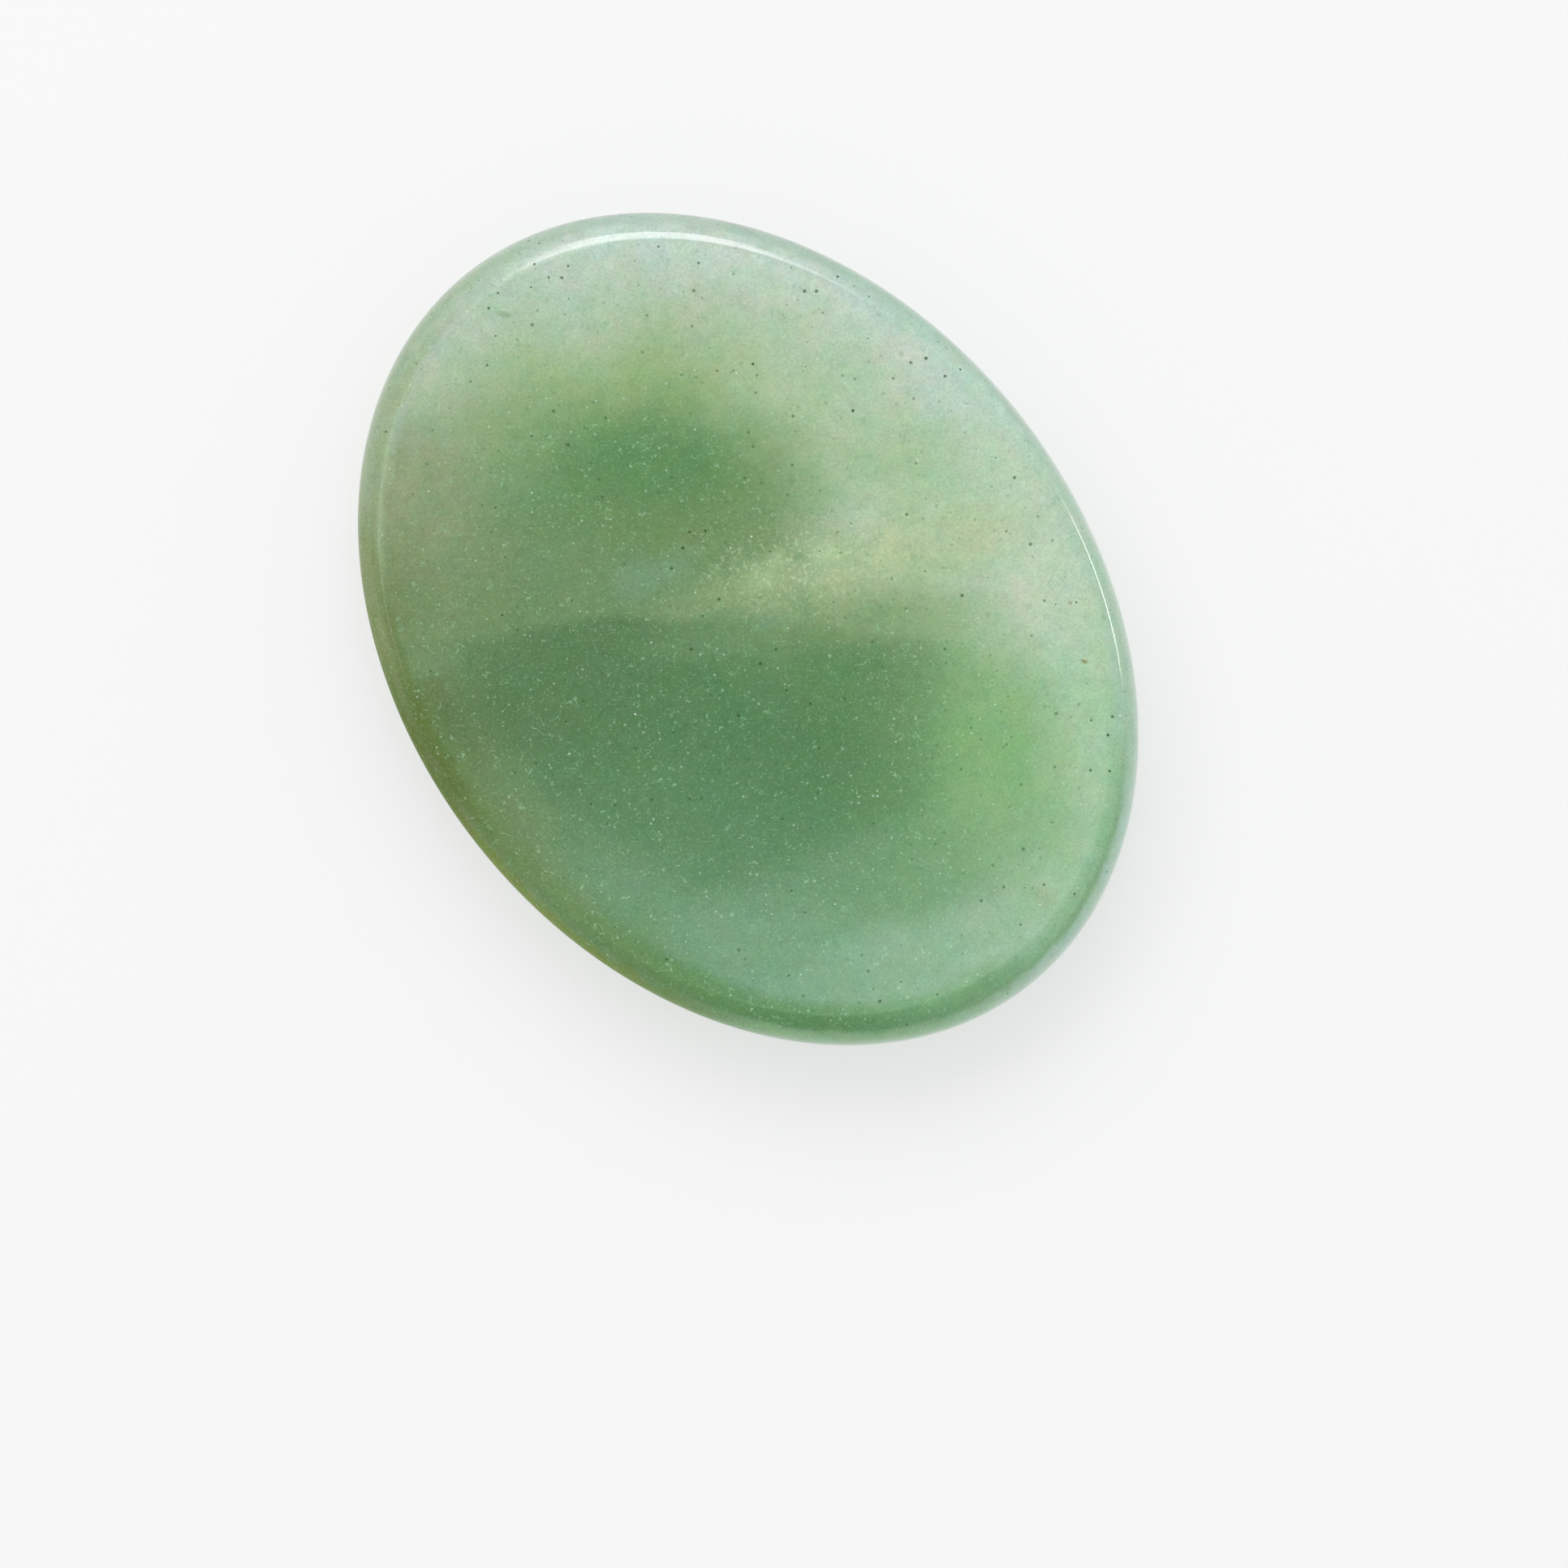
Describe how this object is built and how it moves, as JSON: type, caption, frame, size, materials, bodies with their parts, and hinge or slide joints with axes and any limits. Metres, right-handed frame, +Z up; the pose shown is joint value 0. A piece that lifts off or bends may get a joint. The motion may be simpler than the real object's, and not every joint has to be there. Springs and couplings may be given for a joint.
{
  "type": "palm stone",
  "caption": "Flat oval palm stone of polished green aventurine, with a shallow thumb dish, a rounded rim and a low domed back that rests on a small flat spot.",
  "frame": {"origin": "middle of the small flat spot that the stone rests on", "axes": "+X along the oval's long axis, +Y along its short axis, +Z up, out of the thumb dish"},
  "size_m": [0.054, 0.0412, 0.008],
  "materials": {
    "aventurine": "high polish over a cloudy, translucent green stone"
  },
  "bodies": {
    "root": {"palm_stone": "aventurine"}
  },
  "joints": []
}
